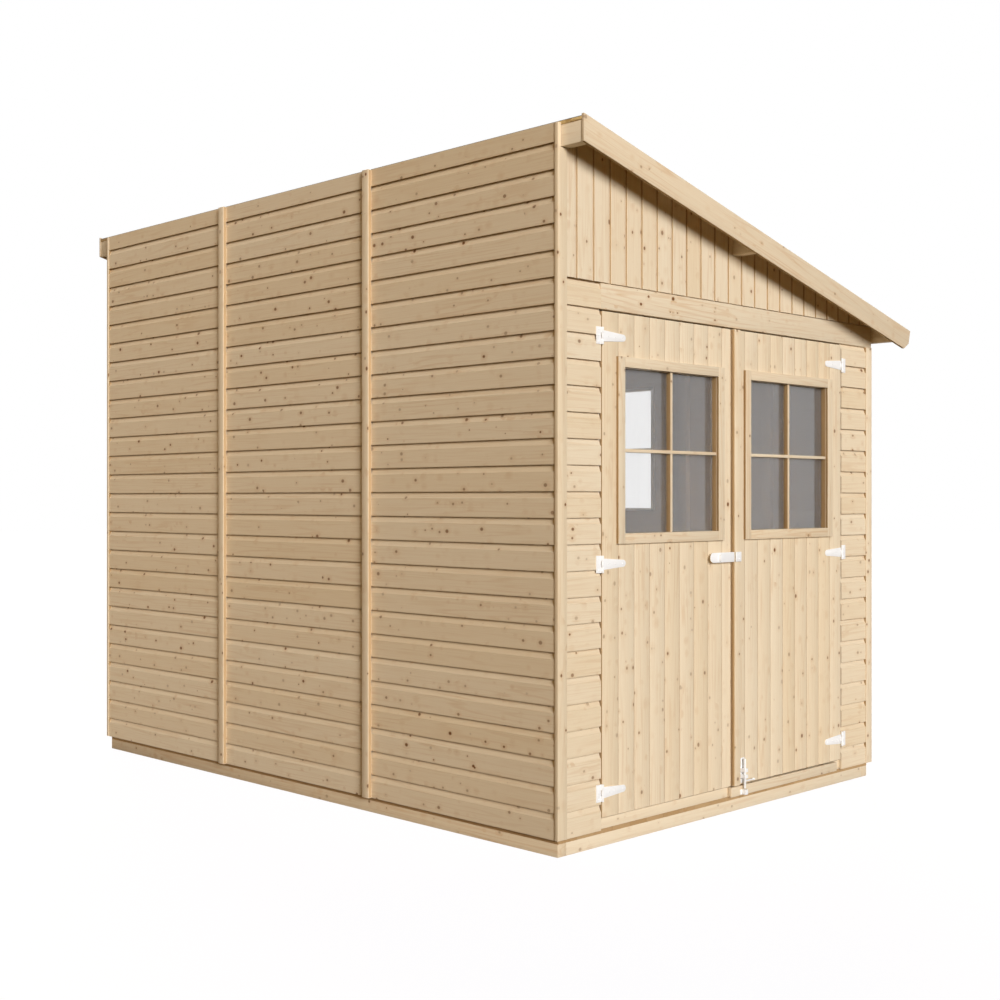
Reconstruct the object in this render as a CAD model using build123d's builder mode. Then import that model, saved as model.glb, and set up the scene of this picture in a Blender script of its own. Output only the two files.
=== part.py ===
"""A lean-to wooden garden shed with a pair of glazed doors.

Places are counted from the outer corner of the walls: x from the tall wall's outer face,
y from the outer face of the front corner strips, z from the ground. Every piece is moved
by the same step at the end, so that the origin lies on the ground under the middle of the
whole shed. The doors face -Y, the tall wall faces -X and the roof falls towards +X.
"""
from build123d import *
import math
import os

# Overall sizes
wall_width = 1880.0
wall_depth = 2760.0
high_wall_height = 2300.0
low_wall_height = 1825.0

# Base and floor
bearer_width = 40.0
bearer_height = 42.0
base_inset = 16.0
floor_thickness = 14.0
inner_joist_count = 3

# Walls
cladding_thickness = 13.0
board_height = 84.0
corner_strip_width = 43.0
corner_strip_thickness = 16.0
cover_strip_width = 36.0
cover_strip_thickness = 16.0
stud_width = 45.0
frame_depth = 28.0
side_panel_count = 3

# Doorway and leaves
left_front_width = 208.0
doorway_width = 1446.0
doorway_top = 1736.0
sill_height = 35.0
door_side_gap = 5.0
door_end_gap = 6.0
meeting_gap = 6.0
left_leaf_width = 700.0
ledge_height = 90.0
ledge_inset = 40.0
meeting_strip_width = 36.0
meeting_strip_thickness = 15.0
bolt_rail_thickness = 18.0
bolt_rail_lead = 7.0
bolt_rail_end_gap = 42.0

# Windows
window_width = 512.0
window_height = 544.0
window_rise = 914.0
left_window_inset = 104.0
right_window_inset = 111.0
side_window_height = 1080.0
casing_width = 34.0
casing_thickness = 11.0
lining_thickness = 12.0
glass_setback = 30.0
glass_thickness = 4.0
glass_bead = 4.0

# Roof
deck_thickness = 10.0
felt_thickness = 2.0
roof_overhang = 83.0
eave_overhang = 140.0
roof_set_down = 2.0
bargeboard_height = 84.0
bargeboard_thickness = 12.0
bargeboard_lip = 6.0
bargeboard_chamfer = 29.0
purlin_width = 40.0
purlin_depth = 68.0
purlin_clearance = 2.0

# Tee hinges
hinge_end_distance = 80.0
hinge_plate_reach = 28.0
hinge_plate_height = 56.0
hinge_steel = 2.5
hinge_strap_reach = 118.0
hinge_strap_root = 37.0
hinge_strap_tip = 23.0
knuckle_radius = 4.5
knuckle_height = 18.0
knuckle_play = 0.5
pin_radius = 2.2
pin_clearance = 0.1
knuckle_clearance = 1.0

# Hasp
hasp_length = 141.0
hasp_height = 35.0
hasp_steel = 3.0
hasp_centre_height = 917.0
hasp_end_gap = 1.0
hasp_knuckle_radius = 3.0
staple_width = 8.0
staple_height = 22.0
staple_proud = 9.0
staple_distance = 52.0

# Door bolt
bolt_distance = 61.0
bolt_plate_width = 32.0
bolt_plate_height = 90.0
bolt_plate_steel = 2.0
bolt_plate_rise = 3.0
bolt_radius = 4.5
bolt_length = 105.0
bolt_stand_off = 5.0
bolt_guide_height = 13.0
bolt_guide_width = 20.0
bolt_guide_wall = 3.0
bolt_guide_low_rise = 21.0
bolt_guide_high_rise = 43.0
bolt_running_clearance = 0.1
bolt_tip_drop = 14.0
bolt_handle_rise = 11.0
bolt_handle_radius = 3.0
bolt_handle_reach = 55.0
keeper_height = 18.0
keeper_width = 34.0
keeper_drop = 13.0
keeper_clearance = 1.5
keeper_steel = 2.5

# Worked out from the sizes above
cut_overrun = 5.0
face = corner_strip_thickness - cladding_thickness
frame_outer = corner_strip_thickness
frame_inner = frame_outer + frame_depth
wall_bottom = bearer_height + floor_thickness
sill_top = wall_bottom + sill_height
gable_bottom = doorway_top + board_height
roof_slope = (high_wall_height - roof_set_down - low_wall_height) / wall_width
roof_angle = math.atan(roof_slope)
bargeboard_top = deck_thickness + felt_thickness + bargeboard_lip
bargeboard_depth = roof_overhang + bargeboard_thickness
roof_left = frame_outer
roof_right = wall_width + eave_overhang
roof_run = (roof_right - bargeboard_top * math.sin(roof_angle)) / math.cos(roof_angle)
left_reach = face - cover_strip_thickness
x_middle = (left_reach + roof_right) / 2
y_middle = wall_depth / 2

doorway_left = left_front_width
doorway_right = doorway_left + doorway_width
leaf_bottom = sill_top + door_end_gap
leaf_top = doorway_top - door_end_gap
left_leaf = (doorway_left + door_side_gap, doorway_left + door_side_gap + left_leaf_width)
right_leaf = (left_leaf[1] + meeting_gap, doorway_right - door_side_gap)
leaf_back = face + cladding_thickness
hinge_heights = (
    leaf_bottom + hinge_end_distance,
    (leaf_bottom + leaf_top) / 2,
    leaf_top - hinge_end_distance,
)
pin_y = face - knuckle_radius
left_pin_x = doorway_left + door_side_gap / 2
right_pin_x = doorway_right - door_side_gap / 2

os.makedirs("parts", exist_ok=True)


def slab(x_low, x_high, y_low, y_high, z_low, z_high, mode=Mode.ADD):
    """Add a squared timber or sheet, given by its faces, to the open part."""
    with Locations((x_low - x_middle, y_low - y_middle, z_low)):
        Box(
            x_high - x_low,
            y_high - y_low,
            z_high - z_low,
            align=(Align.MIN, Align.MIN, Align.MIN),
            mode=mode,
        )


def rod(x, y, z_low, z_high, radius, mode=Mode.ADD):
    """Add an upright round bar to the open part, or drill one away."""
    with Locations((x - x_middle, y - y_middle, z_low)):
        Cylinder(
            radius,
            z_high - z_low,
            align=(Align.CENTER, Align.CENTER, Align.MIN),
            mode=mode,
        )


def front_plane(y):
    """An upright plane across the shed, seen from the front, at depth y."""
    return Plane(origin=(-x_middle, y - y_middle, 0), x_dir=(1, 0, 0), z_dir=(0, -1, 0))


def save(piece, name):
    """Label a finished piece and write it."""
    piece.part.label = name
    export_step(piece.part, f"parts/{name}.step")


def roof_underside(x):
    """Height of the roof's underside above the ground."""
    return high_wall_height - roof_set_down - roof_slope * x


def plumb_point(x, rise):
    """A point at x, a given thickness above the roof's underside."""
    return (x, roof_underside(x) + rise / math.cos(roof_angle))


def eave_point(back, rise):
    """A point near the square-cut eave end: back along the slope, then up from the underside."""
    run = roof_run - back
    return (
        run * math.cos(roof_angle) + rise * math.sin(roof_angle),
        roof_underside(0) - run * math.sin(roof_angle) + rise * math.cos(roof_angle),
    )


# Base: two long bearers, with joists across between them

with BuildPart() as base_bearers:
    for x in (base_inset, wall_width - base_inset - bearer_width):
        slab(x, x + bearer_width, base_inset, wall_depth - base_inset, 0, bearer_height)
save(base_bearers, "base_bearers")

joist_left = base_inset + bearer_width
joist_travel = wall_depth - 2 * base_inset - bearer_width
with BuildPart() as base_joists:
    for place in range(inner_joist_count + 2):
        y = base_inset + joist_travel * place / (inner_joist_count + 1)
        slab(joist_left, wall_width - joist_left, y, y + bearer_width, 0, bearer_height)
save(base_joists, "base_joists")

with BuildPart() as floor:
    slab(
        base_inset,
        wall_width - base_inset,
        base_inset,
        wall_depth - base_inset,
        bearer_height,
        wall_bottom,
    )
save(floor, "floor")

# Roof timbers: three purlins with their tops planed to the slope

purlin_lefts = (
    frame_outer + purlin_clearance,
    (frame_outer + wall_width - purlin_width) / 2,
    wall_width,
)


def purlin_bottom(x):
    """Underside of the purlin whose high side is at x."""
    return roof_underside(x) - purlin_depth


with BuildPart() as purlins:
    for x in purlin_lefts:
        with BuildSketch(front_plane(-roof_overhang)):
            with BuildLine():
                Polyline(
                    (x, purlin_bottom(x)),
                    (x + purlin_width, purlin_bottom(x)),
                    plumb_point(x + purlin_width, 0),
                    plumb_point(x, 0),
                    close=True,
                )
            make_face()
        extrude(amount=-(wall_depth + 2 * roof_overhang))
save(purlins, "purlins")

# Side walls: cladding panels on a frame of rails and studs

panel_run = (wall_depth - 2 * frame_outer) / side_panel_count
panel_names = ("front", "middle", "rear")
high_plate = purlin_bottom(purlin_lefts[0])
low_plate = low_wall_height
window_middle_height = side_window_height + window_height / 2


def window_plane(x, y, z, across, outwards):
    """The middle of a window opening on the cladding's face."""
    return Plane(origin=(x - x_middle, y - y_middle, z), x_dir=across, z_dir=outwards)


side_window = window_plane(
    wall_width - face, y_middle, window_middle_height, (0, 1, 0), (1, 0, 0)
)
left_window = window_plane(
    left_leaf[0] + left_window_inset + window_width / 2,
    face,
    leaf_bottom + window_rise + window_height / 2,
    (1, 0, 0),
    (0, -1, 0),
)
right_window = window_plane(
    right_leaf[1] - right_window_inset - window_width / 2,
    face,
    leaf_bottom + window_rise + window_height / 2,
    (1, 0, 0),
    (0, -1, 0),
)


def window_cut(plane):
    """Cut the hole for a window lining through the cladding of the open part."""
    with BuildSketch(plane.offset(cut_overrun)) as hole:
        Rectangle(window_width + 2 * lining_thickness, window_height + 2 * lining_thickness)
    extrude(hole.sketch, amount=-(cladding_thickness + 2 * cut_overrun), mode=Mode.SUBTRACT)


for index, place in enumerate(panel_names):
    y = frame_outer + index * panel_run
    with BuildPart() as left_panel:
        slab(face, frame_outer, y, y + panel_run, wall_bottom, high_wall_height)
    save(left_panel, f"left_wall_{place}_panel")

    with BuildPart() as right_panel:
        slab(
            wall_width - frame_outer,
            wall_width - face,
            y,
            y + panel_run,
            wall_bottom,
            low_wall_height,
        )
        if place == "middle":
            window_cut(side_window)
    save(right_panel, f"right_wall_{place}_panel")

with BuildPart() as side_wall_rails:
    for x, plate in ((frame_outer, high_plate), (wall_width - frame_inner, low_plate)):
        for z in (wall_bottom, plate - stud_width):
            slab(x, x + frame_depth, frame_outer, wall_depth - frame_outer, z, z + stud_width)
save(side_wall_rails, "side_wall_rails")

stud_travel = wall_depth - 2 * frame_outer - stud_width
stud_steps = 2 * side_panel_count
with BuildPart() as side_wall_studs:
    for x, plate in ((frame_outer, high_plate), (wall_width - frame_inner, low_plate)):
        for step in range(stud_steps + 1):
            beside_window = x > frame_outer and step == side_panel_count
            if not beside_window:
                y = frame_outer + stud_travel * step / stud_steps
                slab(
                    x,
                    x + frame_depth,
                    y,
                    y + stud_width,
                    wall_bottom + stud_width,
                    plate - stud_width,
                )
save(side_wall_studs, "side_wall_studs")

with BuildPart() as side_cover_strips:
    for joint in range(1, side_panel_count):
        y = frame_outer + joint * panel_run - cover_strip_width / 2
        slab(left_reach, face, y, y + cover_strip_width, wall_bottom, high_wall_height)
        slab(
            wall_width - face,
            wall_width - left_reach,
            y,
            y + cover_strip_width,
            wall_bottom,
            purlin_bottom(purlin_lefts[2]),
        )
save(side_cover_strips, "side_cover_strips")

# End walls: side panels, lintel and gables, notched round the purlins

notch_left = purlin_lefts[0] - purlin_clearance
notch_bottom = high_plate - purlin_clearance
right_strip = wall_width - corner_strip_width

with BuildPart() as corner_strips:
    for y, right_top in ((0, doorway_top), (wall_depth - corner_strip_thickness, gable_bottom)):
        slab(0, notch_left, y, y + corner_strip_thickness, wall_bottom, high_wall_height)
        slab(notch_left, corner_strip_width, y, y + corner_strip_thickness, wall_bottom, notch_bottom)
        slab(right_strip, wall_width, y, y + corner_strip_thickness, wall_bottom, right_top)
save(corner_strips, "corner_strips")

with BuildPart() as front_left_panel:
    slab(corner_strip_width, doorway_left, face, frame_outer, wall_bottom, gable_bottom)
save(front_left_panel, "front_left_panel")

with BuildPart() as front_right_panel:
    slab(doorway_right, right_strip, face, frame_outer, wall_bottom, doorway_top)
save(front_right_panel, "front_right_panel")

with BuildPart() as door_lintel:
    slab(doorway_left, wall_width, face, frame_outer, doorway_top, gable_bottom)
save(door_lintel, "door_lintel")

back_joint = wall_width / 2
back_face = wall_depth - face
back_outer = wall_depth - frame_outer
with BuildPart() as back_wall_left_panel:
    slab(corner_strip_width, back_joint, back_outer, back_face, wall_bottom, gable_bottom)
save(back_wall_left_panel, "back_wall_left_panel")

with BuildPart() as back_wall_right_panel:
    slab(back_joint, right_strip, back_outer, back_face, wall_bottom, gable_bottom)
save(back_wall_right_panel, "back_wall_right_panel")

with BuildPart() as back_cover_strip:
    slab(
        back_joint - cover_strip_width / 2,
        back_joint + cover_strip_width / 2,
        back_face,
        back_face + cover_strip_thickness,
        wall_bottom,
        gable_bottom,
    )
save(back_cover_strip, "back_cover_strip")

for name, y in (("front_gable", face), ("back_gable", back_outer)):
    with BuildPart() as gable:
        with BuildSketch(front_plane(y)):
            with BuildLine():
                Polyline(
                    (corner_strip_width, gable_bottom),
                    (wall_width, gable_bottom),
                    plumb_point(wall_width, 0),
                    plumb_point(corner_strip_width, 0),
                    close=True,
                )
            make_face()
        extrude(amount=-cladding_thickness)
        for x in purlin_lefts[:2]:
            slab(
                x - purlin_clearance,
                x + purlin_width + purlin_clearance,
                y - cut_overrun,
                y + cladding_thickness + cut_overrun,
                purlin_bottom(x) - purlin_clearance,
                high_wall_height,
                mode=Mode.SUBTRACT,
            )
    save(gable, name)

frame_right = wall_width - frame_inner
back_inner = wall_depth - frame_inner
back_plate = gable_bottom - stud_width
with BuildPart() as end_wall_rails:
    for z_low, z_high in ((wall_bottom, sill_top), (doorway_top, doorway_top + stud_width)):
        slab(frame_inner, frame_right, frame_outer, frame_inner, z_low, z_high)
    for z_low, z_high in ((wall_bottom, sill_top), (back_plate, gable_bottom)):
        slab(frame_inner, frame_right, back_inner, back_outer, z_low, z_high)
save(end_wall_rails, "end_wall_rails")

front_studs = (
    frame_inner,
    doorway_left - stud_width,
    doorway_right,
    frame_right - stud_width,
)
back_studs = (frame_inner, back_joint - stud_width / 2, frame_right - stud_width)
with BuildPart() as end_wall_studs:
    for x in front_studs:
        slab(x, x + stud_width, frame_outer, frame_inner, sill_top, doorway_top)
    for x in back_studs:
        slab(x, x + stud_width, back_inner, back_outer, sill_top, back_plate)
save(end_wall_studs, "end_wall_studs")

bolt_rail_front = frame_outer - bolt_rail_thickness
with BuildPart() as bolt_rail:
    slab(
        right_leaf[0] - bolt_rail_lead,
        doorway_right - bolt_rail_end_gap,
        bolt_rail_front,
        frame_outer,
        wall_bottom,
        sill_top,
    )
save(bolt_rail, "bolt_rail")

# Roof covering: boarded deck, felt and a bargeboard at each end


def roof_section(rise_low, rise_high):
    """The corners of a roof layer between two heights above the underside."""
    return (
        plumb_point(roof_left, rise_low),
        eave_point(0, rise_low),
        eave_point(0, rise_high),
        plumb_point(roof_left, rise_high),
    )


roof_length = wall_depth + 2 * roof_overhang
with BuildPart() as roof_deck:
    with BuildSketch(front_plane(-roof_overhang)):
        with BuildLine():
            Polyline(*roof_section(0, deck_thickness), close=True)
        make_face()
    extrude(amount=-roof_length)
save(roof_deck, "roof_deck")

with BuildPart() as roof_felt:
    with BuildSketch(front_plane(-roof_overhang)):
        with BuildLine():
            Polyline(*roof_section(deck_thickness, deck_thickness + felt_thickness), close=True)
        make_face()
    extrude(amount=-roof_length)
save(roof_felt, "roof_felt")

bargeboard_low = bargeboard_top - bargeboard_height
with BuildPart() as bargeboards:
    for y in (-bargeboard_depth, wall_depth + roof_overhang):
        with BuildSketch(front_plane(y)):
            with BuildLine():
                Polyline(
                    plumb_point(roof_left, bargeboard_low),
                    eave_point(bargeboard_chamfer, bargeboard_low),
                    eave_point(0, bargeboard_low + bargeboard_chamfer),
                    eave_point(0, bargeboard_top),
                    plumb_point(roof_left, bargeboard_top),
                    close=True,
                )
            make_face()
        extrude(amount=-bargeboard_thickness)
save(bargeboards, "bargeboards")

# Windows: a casing on the face, a lining through the wall and a pane in the lining

pane_depth = glass_setback - casing_thickness
lining_depth = pane_depth + glass_thickness + glass_bead
windows = (("left", left_window), ("right", right_window), ("side", side_window))
for place, plane in windows:
    with BuildPart() as window_frame:
        with BuildSketch(plane):
            Rectangle(window_width + 2 * casing_width, window_height + 2 * casing_width)
            Rectangle(window_width, window_height, mode=Mode.SUBTRACT)
        extrude(amount=casing_thickness)
        with BuildSketch(plane):
            Rectangle(window_width + 2 * lining_thickness, window_height + 2 * lining_thickness)
            Rectangle(window_width, window_height, mode=Mode.SUBTRACT)
        extrude(amount=-lining_depth)
    save(window_frame, f"{place}_window_frame")

    with BuildPart() as window_glass:
        with BuildSketch(plane.offset(-pane_depth)):
            Rectangle(window_width, window_height)
        extrude(amount=-glass_thickness)
    save(window_glass, f"{place}_window_glass")

# Door leaves: upright boards on three ledges

leaves = (("left", left_leaf, left_window), ("right", right_leaf, right_window))
for side, (x_low, x_high), plane in leaves:
    with BuildPart() as door_boards:
        slab(x_low, x_high, face, leaf_back, leaf_bottom, leaf_top)
        window_cut(plane)
    save(door_boards, f"{side}_door_boards")

    with BuildPart() as door_ledges:
        for height in hinge_heights:
            slab(
                x_low + ledge_inset,
                x_high - ledge_inset,
                leaf_back,
                leaf_back + frame_depth,
                height - ledge_height / 2,
                height + ledge_height / 2,
            )
    save(door_ledges, f"{side}_door_ledges")

meeting_strip_front = face - meeting_strip_thickness
with BuildPart() as meeting_strip:
    slab(
        right_leaf[0],
        right_leaf[0] + meeting_strip_width,
        meeting_strip_front,
        face,
        leaf_bottom,
        leaf_top,
    )
save(meeting_strip, "meeting_strip")

# Tee hinges: a plate with two knuckles and the pin on the wall, a strap with one on the leaf

steel_face = face - hinge_steel
knuckle_gap = knuckle_radius + knuckle_clearance
half_knuckle = knuckle_height / 2
half_plate = hinge_plate_height / 2
for side, pin_x, inwards in (("left", left_pin_x, 1), ("right", right_pin_x, -1)):
    with BuildPart() as hinge_plates:
        for height in hinge_heights:
            with BuildSketch(front_plane(face)):
                with BuildLine():
                    outer_x = pin_x - inwards * hinge_plate_reach
                    gap_x = pin_x - inwards * knuckle_gap
                    gap_low = height - half_knuckle - knuckle_play
                    gap_high = height + half_knuckle + knuckle_play
                    Polyline(
                        (outer_x, height - half_plate),
                        (pin_x, height - half_plate),
                        (pin_x, gap_low),
                        (gap_x, gap_low),
                        (gap_x, gap_high),
                        (pin_x, gap_high),
                        (pin_x, height + half_plate),
                        (outer_x, height + half_plate),
                        close=True,
                    )
                make_face()
            extrude(amount=hinge_steel)
            rod(pin_x, pin_y, height - half_plate, gap_low, knuckle_radius)
            rod(pin_x, pin_y, gap_high, height + half_plate, knuckle_radius)
            rod(pin_x, pin_y, height - half_plate, height + half_plate, pin_radius)
    save(hinge_plates, f"{side}_hinge_plates")

    with BuildPart() as hinge_straps:
        for height in hinge_heights:
            with BuildSketch(front_plane(face)):
                with BuildLine():
                    neck_x = pin_x + inwards * knuckle_gap
                    tip_x = pin_x + inwards * (hinge_strap_reach - hinge_strap_tip / 2)
                    end_x = pin_x + inwards * hinge_strap_reach
                    low_tip = (tip_x, height - hinge_strap_tip / 2)
                    high_tip = (tip_x, height + hinge_strap_tip / 2)
                    Polyline(
                        high_tip,
                        (neck_x, height + hinge_strap_root / 2),
                        (neck_x, height + half_knuckle),
                        (pin_x, height + half_knuckle),
                        (pin_x, height - half_knuckle),
                        (neck_x, height - half_knuckle),
                        (neck_x, height - hinge_strap_root / 2),
                        low_tip,
                    )
                    ThreePointArc(low_tip, (end_x, height), high_tip)
                make_face()
            extrude(amount=hinge_steel)
            rod(pin_x, pin_y, height - half_knuckle, height + half_knuckle, knuckle_radius)
            rod(
                pin_x,
                pin_y,
                height - half_knuckle - cut_overrun,
                height + half_knuckle + cut_overrun,
                pin_radius + pin_clearance,
                mode=Mode.SUBTRACT,
            )
    save(hinge_straps, f"{side}_hinge_straps")

# Hasp: a strap over its staple on the left leaf, a hinge plate on the meeting strip

hasp_front = meeting_strip_front - hasp_steel
hasp_right = left_leaf[1] - hasp_end_gap
hasp_left = hasp_right - hasp_length
half_hasp = hasp_height / 2
staple_x = hasp_left + staple_distance
with BuildPart() as hasp_strap:
    with BuildSketch(front_plane(meeting_strip_front)):
        with BuildLine():
            low_end = (hasp_left + half_hasp, hasp_centre_height - half_hasp)
            high_end = (hasp_left + half_hasp, hasp_centre_height + half_hasp)
            Polyline(
                low_end,
                (hasp_right, hasp_centre_height - half_hasp),
                (hasp_right, hasp_centre_height + half_hasp),
                high_end,
            )
            ThreePointArc(high_end, (hasp_left, hasp_centre_height), low_end)
        make_face()
    extrude(amount=hasp_steel)
    slab(
        staple_x - staple_width / 2,
        staple_x + staple_width / 2,
        hasp_front - staple_proud,
        face,
        hasp_centre_height - staple_height / 2,
        hasp_centre_height + staple_height / 2,
    )
save(hasp_strap, "hasp_strap")

hasp_pin_x = right_leaf[0] + hasp_knuckle_radius
with BuildPart() as hasp_plate:
    slab(
        hasp_pin_x,
        right_leaf[0] + meeting_strip_width,
        hasp_front,
        meeting_strip_front,
        hasp_centre_height - half_hasp,
        hasp_centre_height + half_hasp,
    )
    rod(
        hasp_pin_x,
        meeting_strip_front - hasp_knuckle_radius,
        hasp_centre_height - half_hasp,
        hasp_centre_height + half_hasp,
        hasp_knuckle_radius,
    )
save(hasp_plate, "hasp_plate")

# Door bolt: a plate with two guides on the right leaf, the bolt, and a keeper on the rail

bolt_x = right_leaf[0] + bolt_distance
bolt_y = bolt_rail_front - bolt_stand_off - bolt_radius
plate_bottom = leaf_bottom + bolt_plate_rise
guide_bore = bolt_radius + bolt_running_clearance
with BuildPart() as bolt_plate:
    slab(
        bolt_x - bolt_plate_width / 2,
        bolt_x + bolt_plate_width / 2,
        face - bolt_plate_steel,
        face,
        plate_bottom,
        plate_bottom + bolt_plate_height,
    )
    for rise in (bolt_guide_low_rise, bolt_guide_high_rise):
        slab(
            bolt_x - bolt_guide_width / 2,
            bolt_x + bolt_guide_width / 2,
            bolt_y - bolt_radius - bolt_guide_wall,
            face - bolt_plate_steel,
            leaf_bottom + rise,
            leaf_bottom + rise + bolt_guide_height,
        )
    rod(
        bolt_x,
        bolt_y,
        plate_bottom,
        plate_bottom + bolt_plate_height,
        guide_bore,
        mode=Mode.SUBTRACT,
    )
save(bolt_plate, "bolt_plate")

bolt_tip = leaf_bottom - bolt_tip_drop
handle_plane = Plane(
    origin=(bolt_x - x_middle, bolt_y - y_middle, leaf_bottom + bolt_handle_rise),
    x_dir=(0, 1, 0),
    z_dir=(1, 0, 0),
)
with BuildPart() as door_bolt:
    rod(bolt_x, bolt_y, bolt_tip, bolt_tip + bolt_length, bolt_radius)
    with BuildSketch(handle_plane):
        Circle(bolt_handle_radius)
    extrude(amount=bolt_handle_reach)
save(door_bolt, "door_bolt")

keeper_top = sill_top - keeper_drop
keeper_room = bolt_radius + keeper_clearance
keeper_outer = keeper_room + keeper_steel
keeper_inner_y = bolt_y - keeper_room
keeper_plane = Plane(
    origin=(bolt_x - x_middle, -y_middle, keeper_top - keeper_height),
    x_dir=(1, 0, 0),
    z_dir=(0, 0, 1),
)
with BuildPart() as bolt_keeper:
    with BuildSketch(keeper_plane):
        with BuildLine():
            Polyline(
                (-keeper_width / 2, bolt_rail_front),
                (-keeper_room, bolt_rail_front),
                (-keeper_room, keeper_inner_y),
                (keeper_room, keeper_inner_y),
                (keeper_room, bolt_rail_front),
                (keeper_width / 2, bolt_rail_front),
                (keeper_width / 2, bolt_rail_front - keeper_steel),
                (keeper_outer, bolt_rail_front - keeper_steel),
                (keeper_outer, keeper_inner_y - keeper_steel),
                (-keeper_outer, keeper_inner_y - keeper_steel),
                (-keeper_outer, bolt_rail_front - keeper_steel),
                (-keeper_width / 2, bolt_rail_front - keeper_steel),
                close=True,
            )
        make_face()
    extrude(amount=keeper_height)
save(bolt_keeper, "bolt_keeper")
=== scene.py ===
# %% [markdown]
# # A wooden garden shed
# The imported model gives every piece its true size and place. Here each of them gets its looks:
# boards in place of plain panels, rounded edges, windows with bars, screws, and a finish for each
# material. The frame is only read, never moved, so everything below is placed from its boxes.

# %% Load the frame
import math
import random

import bpy
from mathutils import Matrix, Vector


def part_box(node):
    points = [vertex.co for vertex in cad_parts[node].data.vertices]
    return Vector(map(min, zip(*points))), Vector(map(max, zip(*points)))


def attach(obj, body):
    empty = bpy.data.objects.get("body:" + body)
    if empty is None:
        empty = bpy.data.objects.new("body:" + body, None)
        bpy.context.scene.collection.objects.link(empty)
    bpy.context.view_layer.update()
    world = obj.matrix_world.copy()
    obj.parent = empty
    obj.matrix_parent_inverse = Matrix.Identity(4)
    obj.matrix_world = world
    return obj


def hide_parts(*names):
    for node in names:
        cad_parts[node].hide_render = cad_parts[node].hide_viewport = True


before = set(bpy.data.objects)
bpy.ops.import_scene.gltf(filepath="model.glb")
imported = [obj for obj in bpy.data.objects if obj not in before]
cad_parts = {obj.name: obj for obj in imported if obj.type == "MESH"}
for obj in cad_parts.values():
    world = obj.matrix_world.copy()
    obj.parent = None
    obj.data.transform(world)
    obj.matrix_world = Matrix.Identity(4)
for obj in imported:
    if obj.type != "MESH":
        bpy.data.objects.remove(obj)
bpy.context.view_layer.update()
mm = 0.001
draw = random.Random(84)

# %% [markdown]
# ## Camera
# The shed is seen from its front left corner at chest height, with upright edges kept upright.
# A level camera turned half way between the two walls does that without any tilt. The lens comes
# from how fast the walls shrink with distance, and a tiny shift sets the height of the horizon.

# %% Camera
camera_place = (-4.2191, -4.3405, 1.127)
camera_turn = (math.radians(90), 0, math.radians(-45))
picture_side = 1000
focal_length_pixels = 1403.0
horizon_row = 498.0
sensor_width = 36.0

bpy.ops.object.camera_add(location=camera_place, rotation=camera_turn)
camera = bpy.context.object
camera.data.sensor_width = sensor_width
camera.data.lens = sensor_width * focal_length_pixels / picture_side
camera.data.shift_y = (horizon_row - picture_side / 2) / picture_side
bpy.context.scene.camera = camera
bpy.context.scene.view_settings.view_transform = "Standard"
print("lens", round(camera.data.lens, 2), "mm")

# %% [markdown]
# ## Node helper and colours
# Shader trees are built from one small function, so that each material below reads as a list of
# nodes with what goes into them. Colours are written as the sRGB values seen on a screen, and one
# more function turns them into the linear values that shaders work with.

# %% Node helper and colours
def add_node(tree, kind, sockets=None, **options):
    """Add a shader node, set its options, and set or link its sockets."""
    made = tree.nodes.new("ShaderNode" + kind)
    for option, value in options.items():
        setattr(made, option, value)
    for socket, value in (sockets or {}).items():
        if isinstance(value, bpy.types.NodeSocket):
            tree.links.new(value, made.inputs[socket])
        else:
            made.inputs[socket].default_value = value
    return made


def linear(colour):
    """An sRGB hex colour as linear red, green, blue and alpha."""
    parts = [int(colour[place : place + 2], 16) / 255 for place in (1, 3, 5)]
    return [p / 12.92 if p <= 0.04045 else ((p + 0.055) / 1.055) ** 2.4 for p in parts] + [1.0]


def new_material(name):
    """An empty material with its node tree."""
    material = bpy.data.materials.new(name)
    material.use_nodes = True
    material.node_tree.nodes.clear()
    return material, material.node_tree


print("white is", linear("#FFFFFF"))

# %% [markdown]
# ## Studio
# The doors face a strong soft light a little to their left, the tall wall takes the same light at
# a slant with some warm fill from its own side, and under the roof it is dark. Sun lamps with wide
# angles give that, with soft edged shadows and no falloff. A third lamp from behind shows the back
# and the roof and never reaches the doors. The world adds a faint warm glow, and is plain white to
# the eye, to mirrors and through glass. The floor tops itself up to white and keeps the shadow.

# %% Studio
sky_strength = 0.03
floor_reach = 80.0
floor_drop = 0.5 * mm
floor_glow = 0.98

# Each lamp: the way its light travels, its strength, its colour, and how wide it looks in degrees
lamps = {
    "key": ((0.42, 1.0, -0.3), 3.31, "#FDFCFE", 24),
    "warm_fill": ((1.0, 0.1, -0.55), 0.42, "#FFCE80", 50),
    "back_light": ((-0.8, -1.0, -0.75), 2.6, "#FFF8EE", 40),
}
for name, (path, strength, colour, width) in lamps.items():
    bpy.ops.object.light_add(type="SUN", rotation=Vector(path).to_track_quat("-Z", "Y").to_euler())
    lamp = bpy.context.object
    lamp.name = name
    lamp.data.energy = strength
    lamp.data.color = linear(colour)[:3]
    lamp.data.angle = math.radians(width)


def seen_rays(tree):
    """One for rays from the eye, off a mirror or through glass, nought for scattered light."""
    rays = add_node(tree, "LightPath").outputs
    seen = rays["Is Camera Ray"]
    for kind in ("Is Glossy Ray", "Is Transmission Ray"):
        seen = add_node(tree, "Math", {0: seen, 1: rays[kind]}, operation="MAXIMUM").outputs[0]
    return seen


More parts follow.
